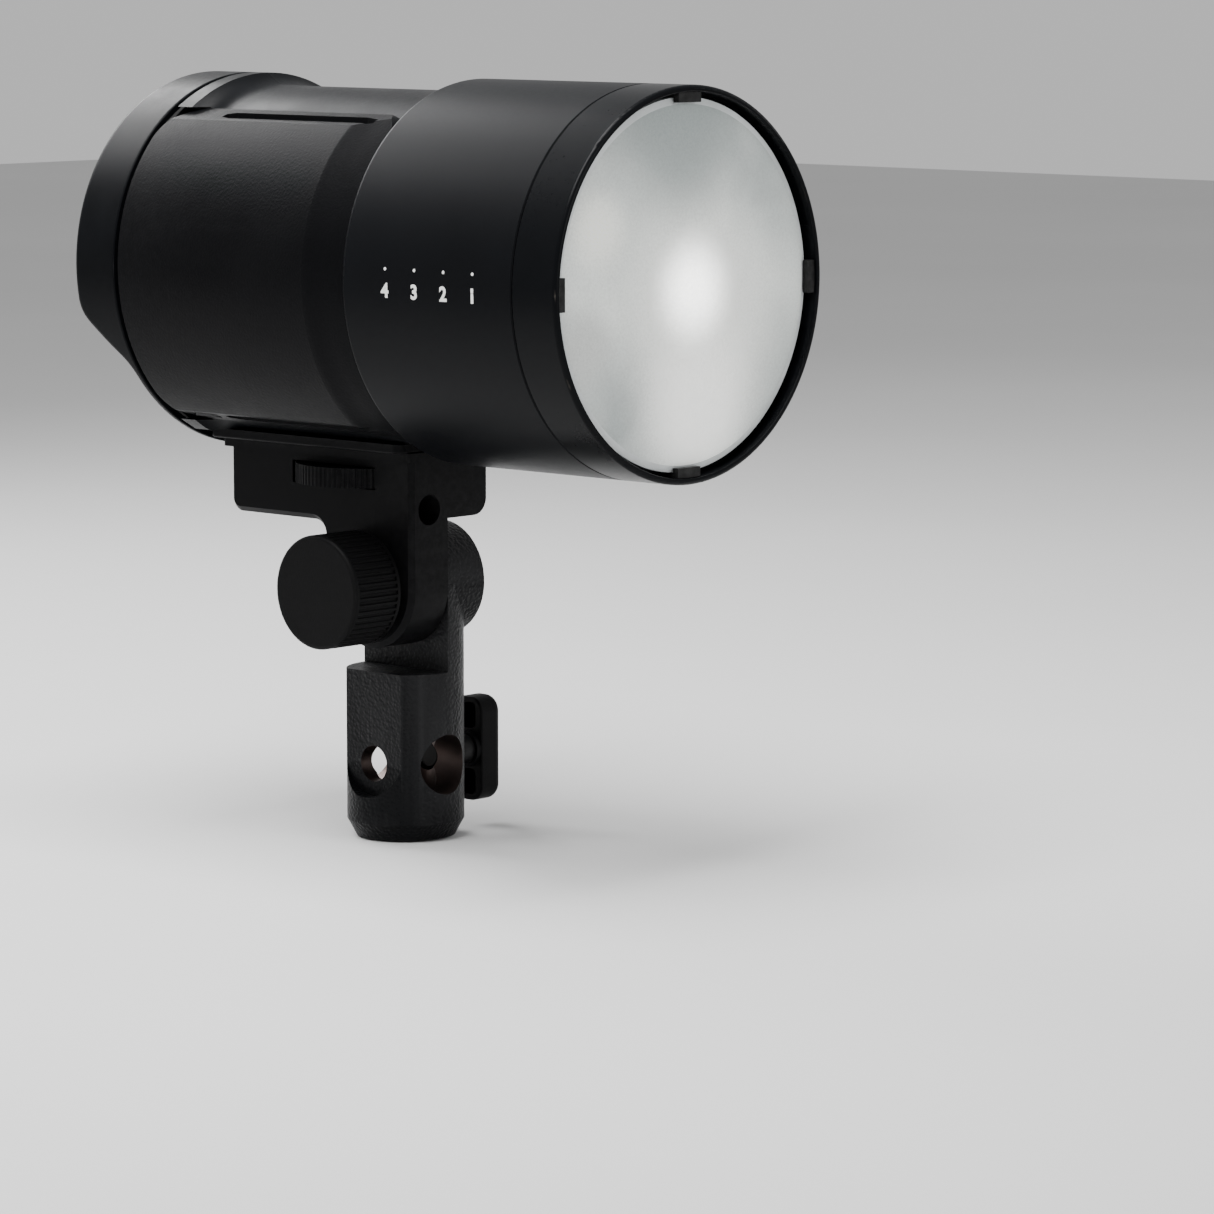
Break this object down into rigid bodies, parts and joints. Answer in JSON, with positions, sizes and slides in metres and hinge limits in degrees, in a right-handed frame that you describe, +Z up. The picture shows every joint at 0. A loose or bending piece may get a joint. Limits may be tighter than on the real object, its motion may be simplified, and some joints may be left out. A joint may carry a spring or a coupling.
{
  "type": "monolight strobe",
  "caption": "Compact battery monolight flash head with frosted domed front glass, side battery pack, rear controls and a tilting stand adapter.",
  "frame": {"origin": "centre of the mouth of the vertical stand socket, on its axis", "axes": "+Z up along the stand socket, -Y the way the flash fires, the battery on -X"},
  "size_m": [0.1002, 0.1808, 0.2005],
  "materials": {
    "hammered_paint": "hammered black enamel",
    "friction_fibre": "pressed fibre",
    "zinc_steel": "zinc plated",
    "black_nylon": "fine moulded",
    "brass_insert": "turned",
    "black_anodised": "black anodised satin",
    "black_steel": "black oxide",
    "housing_satin": "satin moulded",
    "barrel_satin": "smooth satin black",
    "bezel_gloss": "semi-gloss black",
    "battery_grain": "fine powder grain",
    "black_rubber": "soft matte",
    "inner_plastic": "plain moulded",
    "panel_gloss": "gloss",
    "display_glass": "dark clear",
    "display_cell": "display",
    "circuit_board": "solder mask",
    "inner_metal": "stamped",
    "soft_button": "soft satin",
    "frosted_glass": "frosted, ground edge",
    "mirror_aluminium": "polished hammered",
    "clear_glass": "clear",
    "ceramic": "white ceramic",
    "led_yellow": "phosphor",
    "bare_aluminium": "bare cast",
    "capacitor_sleeve": "shrink sleeve",
    "cell_wrap": "shrink wrap"
  },
  "bodies": {
    "stand_adapter": {"stand_socket": "hammered_paint", "friction_disc": "friction_fibre", "tilt_bolt": "zinc_steel"},
    "head": {"knob_washer": "zinc_steel", "tilt_bracket": "black_anodised", "foot_plate": "black_anodised", "tripod_bush": "zinc_steel", "foot_screws": "black_steel", "housing_right": "housing_satin", "housing_left": "housing_satin", "rear_seal": "black_rubber", "rear_partition": "inner_plastic", "rear_cap": "housing_satin", "rear_panel": "panel_gloss", "display_window": "display_glass", "display_module": "display_cell", "control_board": "circuit_board", "dial_encoder": "inner_metal", "usb_port": "inner_metal", "sync_jack": "inner_metal", "cap_screws": "black_steel", "front_barrel": "barrel_satin", "front_bezel": "bezel_gloss", "front_glass": "frosted_glass", "glass_clips": "black_steel", "reflector": "mirror_aluminium", "flash_tube": "clear_glass", "tube_base": "ceramic", "modelling_led": "led_yellow", "heat_sink": "bare_aluminium", "bulkhead": "inner_plastic", "capacitors": "capacitor_sleeve", "power_board": "circuit_board", "transformer": "inner_metal", "power_transistors": "inner_plastic", "fan_frame": "inner_plastic", "radio_board": "circuit_board", "contact_block": "inner_plastic"},
    "tilt_knob_body": {"tilt_knob": "black_nylon", "knob_insert": "brass_insert"},
    "lock_screw_body": {"lock_screw": "black_steel"},
    "lock_handle_body": {"lock_handle": "black_nylon"},
    "thumbwheel_body": {"thumbwheel": "black_anodised", "camera_screw": "zinc_steel"},
    "control_dial_body": {"control_dial": "black_anodised"},
    "dial_push_body": {"dial_push_cap": "soft_button"},
    "power_button_body": {"power_button": "soft_button"},
    "test_button_body": {"test_button": "soft_button"},
    "mode_button_body": {"mode_button": "soft_button"},
    "modelling_button_body": {"modelling_button": "soft_button"},
    "port_cover_body": {"port_cover": "black_rubber"},
    "fan_rotor_body": {"fan_rotor": "inner_plastic"},
    "battery_body": {"battery_case": "battery_grain", "battery_base": "inner_plastic", "battery_terminal": "inner_plastic", "battery_cells": "cell_wrap", "battery_board": "circuit_board", "latch_spring": "zinc_steel"},
    "latch_body": {"latch_button": "soft_button"}
  },
  "joints": [
    {"name": "head_tilt", "type": "hinge", "parent": "stand_adapter", "child": "head", "pos_m": [0, 0, 0.0675], "axis": [1, 0, 0], "range_deg": [-90, 90]},
    {"name": "tilt_knob_turn", "type": "hinge", "parent": "stand_adapter", "child": "tilt_knob_body", "pos_m": [-0.0248, 0, 0.0675], "axis": [1, 0, 0], "range_deg": [-360, 360]},
    {"name": "lock_screw_travel", "type": "slide", "parent": "stand_adapter", "child": "lock_screw_body", "axis": [1, 0, 0], "range_m": [-0.0026, 0.0051]},
    {"name": "lock_handle_turn", "type": "hinge", "parent": "lock_screw_body", "child": "lock_handle_body", "pos_m": [0.028, 0, 0.02], "axis": [1, 0, 0], "range_deg": [-720, 1440]},
    {"name": "thumbwheel_turn", "type": "hinge", "parent": "head", "child": "thumbwheel_body", "pos_m": [0, 0.0123, 0.096], "axis": [0, 0, 1], "range_deg": [-360, 360]},
    {"name": "control_dial_turn", "type": "hinge", "parent": "head", "child": "control_dial_body", "pos_m": [0, 0.0775, 0.1575], "axis": [0, 1, 0], "continuous": true},
    {"name": "dial_push", "type": "slide", "parent": "head", "child": "dial_push_body", "axis": [0, -1, 0], "range_m": [0, 0.0007], "stiffness_N_per_m": 400},
    {"name": "power_button_press", "type": "slide", "parent": "head", "child": "power_button_body", "axis": [0, -1, 0], "range_m": [0, 0.0007], "stiffness_N_per_m": 400},
    {"name": "test_button_press", "type": "slide", "parent": "head", "child": "test_button_body", "axis": [0, -1, 0], "range_m": [0, 0.0007], "stiffness_N_per_m": 400},
    {"name": "mode_button_press", "type": "slide", "parent": "head", "child": "mode_button_body", "axis": [0, -1, 0], "range_m": [0, 0.0007], "stiffness_N_per_m": 400},
    {"name": "modelling_button_press", "type": "slide", "parent": "head", "child": "modelling_button_body", "axis": [0, -1, 0], "range_m": [0, 0.0007], "stiffness_N_per_m": 400},
    {"name": "port_cover_open", "type": "hinge", "parent": "head", "child": "port_cover_body", "pos_m": [0, 0.0603, 0.1099], "axis": [-1, 0, 0], "range_deg": [0, 110]},
    {"name": "fan_spin", "type": "hinge", "parent": "head", "child": "fan_rotor_body", "pos_m": [0.006, -0.025, 0.1505], "axis": [0, 1, 0], "continuous": true},
    {"name": "battery_release", "type": "slide", "parent": "head", "child": "battery_body", "axis": [-1, 0, 0], "range_m": [0, 0.045]},
    {"name": "latch_press", "type": "slide", "parent": "battery_body", "child": "latch_body", "axis": [0, 0, 1], "range_m": [0, 0.001], "stiffness_N_per_m": 400, "deforming": ["latch_spring"]}
  ],
  "couplings": [
    {"joint": "lock_screw_travel", "follows": "lock_handle_turn", "m_per_rad": 0.00019894}
  ]
}
